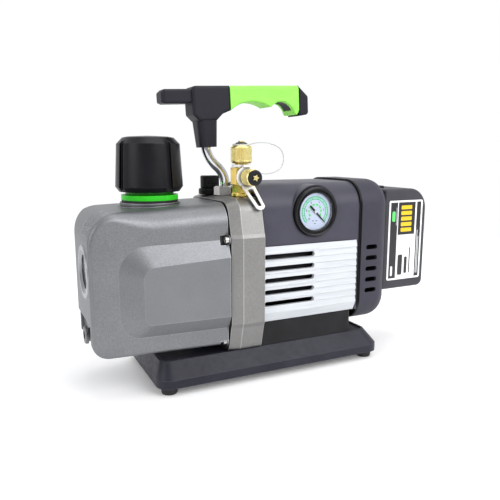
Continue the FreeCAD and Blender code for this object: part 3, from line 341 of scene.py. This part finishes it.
LOOKS = {
    BASE_COAT: ["base_tray"],
    RISER_COAT: ["motor_riser"],
    CAST: ["oil_tank"],
    FLANGE_CAST: ["flange_cover", "pump_housing"],
    IRON: ["stator_rings", "stator_plates", "motor_armature"],
    STEEL: ["pump_rotors", "pump_shaft", "reed_valve", "motor_shaft"],
    SHROUD: ["motor_shroud"],
    COVER: ["rear_cover"],
    PACK: ["battery_case"],
    DARK: ["battery_dock", "battery_button", "ballast_base", "ballast_knob", "cooling_fan",
           "top_cap_button", "side_cap_button", "gauge_pointer"],
    KNOB: ["exhaust_cap"],
    HANDLE: ["handle_core", "handle_end"],
    BEZEL: ["gauge_case"],
    SWITCH: ["power_switch"],
    GREEN: ["exhaust_neck"],
    STRAP: ["cap_strap"],
    RED: ["coupling_spider"],
    PHENOLIC: ["rotor_vanes"],
    CELL: ["battery_cells"],
    GRIP: ["handle_grip"],
    RUBBER: ["rubber_feet", "tank_gasket", "neck_gasket", "shaft_seal"],
    BRASS: ["valve_body", "dock_terminals"],
    CAP_BRASS: ["top_cap", "side_cap"],
    BRONZE: ["shaft_bush"],
    CHROME: ["handle_tube"],
    NICKEL: ["handle_nut"],
    PLUG: ["drain_plug"],
    ZINC: ["tank_screws", "base_screws"],
    SIGHT: ["sight_ring"],
    HUB: ["coupling_hubs"],
    CAN: ["motor_can"],
    FINS: ["fin_panel_front", "fin_panel_back"],
    COPPER: ["motor_windings"],
    FILTER: ["mist_filter"],
    GLASS: ["sight_lens"],
    LENS: ["gauge_lens"],
    FILAMENT: ["cap_tether"],
    DIAL: ["gauge_dial"],
    FILM: ["battery_label"],
}
for material, names in LOOKS.items():
    for name in names:
        NODES[name].data.materials.clear()
        NODES[name].data.materials.append(material)


# ---- thin printed pieces ---------------------------------------------------------
INK = 0.00004                        # thickness of the printed ink
UNDER_INK = 0.00003                  # of a colour that other ink crosses
PANEL_INK = 0.00005                  # of the label's dark panels, which carry the coloured ink
HUB_CAP = 0.00012
INK_STEP = 1e-7                      # from one shape to the next, so that no two faces coincide
CORNER_STEPS = 5


def arc_band(inner, outer, start, end, steps=24):
    """A curved band about the origin, with angles in degrees anticlockwise from the right."""
    angles = [math.radians(start + (end - start) * k / steps) for k in range(steps + 1)]
    rim = [(outer * math.cos(a), outer * math.sin(a)) for a in angles]
    return rim + [(inner * math.cos(a), inner * math.sin(a)) for a in reversed(angles)]


def round_box(low, high, radius):
    """A rectangle with rounded corners, from its low and high corners."""
    points = []
    left, right = low[0] + radius, high[0] - radius
    bottom, top = low[1] + radius, high[1] - radius
    for cx, cz, start in ((right, top, 0), (left, top, 90), (left, bottom, 180), (right, bottom, 270)):
        for k in range(CORNER_STEPS + 1):
            a = math.radians(start + 90 * k / CORNER_STEPS)
            points.append((cx + radius * math.cos(a), cz + radius * math.sin(a)))
    return points


SEGMENTS = {"0": "abcdef", "1": "bc", "2": "abged", "3": "abgcd", "4": "fgbc", "5": "afgcd",
            "6": "afgedc", "7": "abc", "8": "abcdefg", "9": "abcdfg"}


def digit(figure, centre, height):
    """One numeral out of plain strokes."""
    w, h, t = height * 0.27, height * 0.5, height * 0.085
    places = {"a": (-w, h - t, w, h + t), "d": (-w, -h - t, w, -h + t), "g": (-w, -t, w, t),
              "f": (-w - t, 0, -w + t, h), "b": (w - t, 0, w + t, h),
              "e": (-w - t, -h, -w + t, 0), "c": (w - t, -h, w + t, 0)}
    shapes = []
    for segment in SEGMENTS[figure]:
        x0, z0, x1, z1 = (value + centre[i % 2] for i, value in enumerate(places[segment]))
        shapes.append([(x0, z0), (x1, z0), (x1, z1), (x0, z1)])
    return shapes


def number(text, centre, height):
    step = height * 0.78
    first = centre[0] - step * (len(text) - 1) / 2
    return [shape for k, figure in enumerate(text)
            for shape in digit(figure, (first + step * k, centre[1]), height)]


def ink(name, shapes, origin, thickness, material, body):
    """Flat printed shapes, drawn in the X-Z plane at `origin` and raised a hair towards -Y."""
    mesh = bpy.data.meshes.new(name)
    bm = bmesh.new()
    for layer, shape in enumerate(shapes):
        lift = INK_STEP * layer
        front = [bm.verts.new(origin + Vector((x, -thickness - lift, z))) for x, z in shape]
        back = [bm.verts.new(origin + Vector((x, 0, z))) for x, z in shape]
        bm.faces.new(front)
        bm.faces.new(back[::-1])
        count = len(shape)
        for i in range(count):
            j = (i + 1) % count
            bm.faces.new((front[i], back[i], back[j], front[j]))
    bmesh.ops.recalc_face_normals(bm, faces=bm.faces)
    bm.to_mesh(mesh)
    bm.free()
    piece = add_object(name, mesh)
    mesh.materials.append(material)
    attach(piece, body)


TEAL = printed("teal_ink", (0.02, 0.50, 0.26), (0.05, 0.62, 0.36))
MINT = printed("mint_ink", (0.42, 0.80, 0.58), (0.52, 0.88, 0.68))
LIME = printed("lime_ink", (0.10, 0.78, 0.14), (0.16, 0.88, 0.22))
BLACK = printed("black_ink", (0.010, 0.010, 0.012), (0.022, 0.022, 0.026))
WHITE = printed("white_ink", (0.78, 0.80, 0.82), (0.90, 0.91, 0.92))
YELLOW = printed("yellow_ink", (0.78, 0.52, 0.010), (0.90, 0.62, 0.02))

START, END = -45.0, 225.0            # the pointer's sweep over the dial
TICKS, FIGURES = 27, ("0", "2", "4", "6", "8", "10")


def dial_face():
    """Two scale rings, ticks and numerals on the gauge's dial."""
    low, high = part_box("gauge_dial")
    centre = Vector(((low.x + high.x) / 2, low.y, (low.z + high.z) / 2))
    ink("dial_band", [arc_band(13.2 * MM, 15.2 * MM, START, END, 60)], centre, UNDER_INK, MINT,
        "housing")
    rings = [arc_band(15.2 * MM, 16.0 * MM, START, END, 60),
             arc_band(12.5 * MM, 13.2 * MM, START, END, 60)]
    for k in range(TICKS + 1):
        a = START + (END - START) * k / TICKS
        wide, inner = (1.2, 13.2) if k % 3 == 0 else (0.7, 14.2)
        rings.append(arc_band(inner * MM, 15.2 * MM, a - wide, a + wide, 2))
    ink("dial_rings", rings, centre, INK, TEAL, "housing")
    blocks = [arc_band(6.4 * MM, 8.3 * MM, a - 12.0, a + 12.0, 6) for a in range(-30, 226, 34)]
    ink("dial_blocks", blocks, centre, INK, LIME, "housing")
    figures = []
    for k, text in enumerate(FIGURES):
        a = math.radians(START + (END - START) * k / (len(FIGURES) - 1))
        spot = (10.5 * MM * math.cos(a), 10.5 * MM * math.sin(a))
        figures += number(text, spot, 1.8 * MM)
    ink("dial_figures", figures, centre, INK, BLACK, "housing")
    marks = [round_box((x - 1.1 * MM, z - 0.35 * MM), (x + 1.1 * MM, z + 0.35 * MM), 0.3 * MM)
             for x, z in ((-2.4 * MM, -9.6 * MM), (2.0 * MM, -9.6 * MM), (0.0, -12.4 * MM))]
    ink("dial_marks", marks, centre, INK, BLACK, "housing")
    disc = [arc_band(0.0002, 0.0017, 0.0, 359.0, 30)]
    hub = Vector((centre.x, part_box("gauge_pointer")[0].y, centre.z))
    ink("pointer_hub_cap", disc, hub, HUB_CAP, WHITE, "pointer")


def battery_print():
    """Plain colour blocks on the pack's label: dark strips, a charge-bar panel and rules."""
    low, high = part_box("battery_label")
    origin = Vector((low.x, low.y, low.z))
    tall = (high.z - low.z) / MM

    def block(x0, x1, z0, z1, radius=0.3):
        return round_box((x0 * MM, z0 * MM), (x1 * MM, z1 * MM), radius * MM)

    dark = [block(2.4, 12.6, 2.2, tall - 2.2), block(41.4, 47.7, 2.2, tall - 2.2),
            block(13.9, 39.0, tall - 40.5, tall - 2.2)]
    ink("label_panels", dark, origin, PANEL_INK, BLACK, "battery")
    lift = origin - Vector((0, PANEL_INK, 0))
    bars = [block(18.0, 34.0, tall - 37.0 + 6.6 * k, tall - 32.4 + 6.6 * k, 1.0) for k in range(5)]
    ink("label_bars", bars, lift, INK, YELLOW, "battery")
    rules = [block(43.0, 43.9, 6.0, tall - 36.0, 0.3), block(44.9, 45.7, 6.0, tall - 44.0, 0.3),
             block(5.0, 8.0, 5.0, 17.0, 1.2), block(11.0, 11.5, tall - 29.0, tall - 8.0, 0.2)]
    ink("label_rules", rules, lift, INK, WHITE, "battery")
    ink("label_tab", [block(4.8, 9.4, tall - 24.5, tall - 12.5, 1.9)], lift, INK, LIME, "battery")
    notes = [block(15.6, 22.4, 5.5, 30.0, 1.6), block(25.4, 29.6, 7.0, 27.0, 1.2),
             block(32.4, 34.0, 7.0, 38.0, 0.6)]
    ink("label_notes", notes, origin, INK, BLACK, "battery")


dial_face()
battery_print()


# ---- floor, light and camera -------------------------------------------------------
FLOOR_RADIUS = 1.1
MIDDLE = (0.0, 0.0, 0.13)            # what the lamps are aimed at
CAMERA_SIDE = (-0.44, -0.89, 0.1)    # from the object towards the camera
TENT_BRIGHT, TENT_DIM = 1.02, 0.45
CAMERA_PLACE = (-0.2736, -0.5350, 0.230)
CAMERA_TILT, CAMERA_TURN = 79.89, -25.76       # degrees
CAMERA_LENS = 39.33


def floor():
    mesh = bpy.data.meshes.new("studio_floor")
    bm = bmesh.new()
    bmesh.ops.create_circle(bm, cap_ends=True, segments=96, radius=FLOOR_RADIUS)
    bm.to_mesh(mesh)
    bm.free()
    plane = add_object("studio_floor", mesh)
    look = Look("floor_paper", Emission_Color=(1, 1, 1, 1), Emission_Strength=0.12)
    look.feed("Base Color", look.colours(look.noise(3), (0.93, 0.93, 0.935), (0.96, 0.96, 0.965)))
    look.feed("Roughness", look.spread(look.noise(300), 0.6, 0.7))
    mesh.materials.append(look.material)


def softbox(name, place, size, power):
    light = bpy.data.lights.new(name, "AREA")
    light.shape = "RECTANGLE"
    light.size, light.size_y = size
    light.energy = power
    lamp = add_object(name, light)
    lamp.location = place
    lamp.rotation_euler = (Vector(MIDDLE) - Vector(place)).to_track_quat("-Z", "Y").to_euler()


def studio():
    """A white tent, dimmer on the camera's side, with three softboxes."""
    world = bpy.data.worlds.new("studio_world")
    world.use_nodes = True
    nodes, links = world.node_tree.nodes, world.node_tree.links
    direction = nodes.new("ShaderNodeTexCoord").outputs["Generated"]
    facing = nodes.new("ShaderNodeVectorMath")
    facing.operation = "DOT_PRODUCT"
    facing.inputs[1].default_value = CAMERA_SIDE
    links.new(direction, facing.inputs[0])
    strength = nodes.new("ShaderNodeMapRange")
    for socket, value in zip(strength.inputs[1:5], (-0.3, 0.7, TENT_BRIGHT, TENT_DIM)):
        socket.default_value = value
    links.new(facing.outputs["Value"], strength.inputs["Value"])
    links.new(strength.outputs["Result"], nodes["Background"].inputs["Strength"])
    nodes["Background"].inputs["Color"].default_value = (0.985, 0.99, 1.0, 1)
    bpy.context.scene.world = world
    softbox("key_front", (0.62, -1.36, 1.10), (1.3, 1.0), 20.0)
    softbox("side_left", (-1.5, -0.5, 0.8), (0.8, 1.0), 8.0)
    softbox("overhead", (0.1, 0.0, 1.3), (1.2, 0.8), 5.0)


floor()
studio()
bpy.context.scene.view_settings.view_transform = "Standard"

lens = bpy.data.cameras.new("camera")
lens.lens = CAMERA_LENS
camera = add_object("camera", lens)
camera.location = CAMERA_PLACE
camera.rotation_euler = (math.radians(CAMERA_TILT), 0, math.radians(CAMERA_TURN))
bpy.context.scene.camera = camera
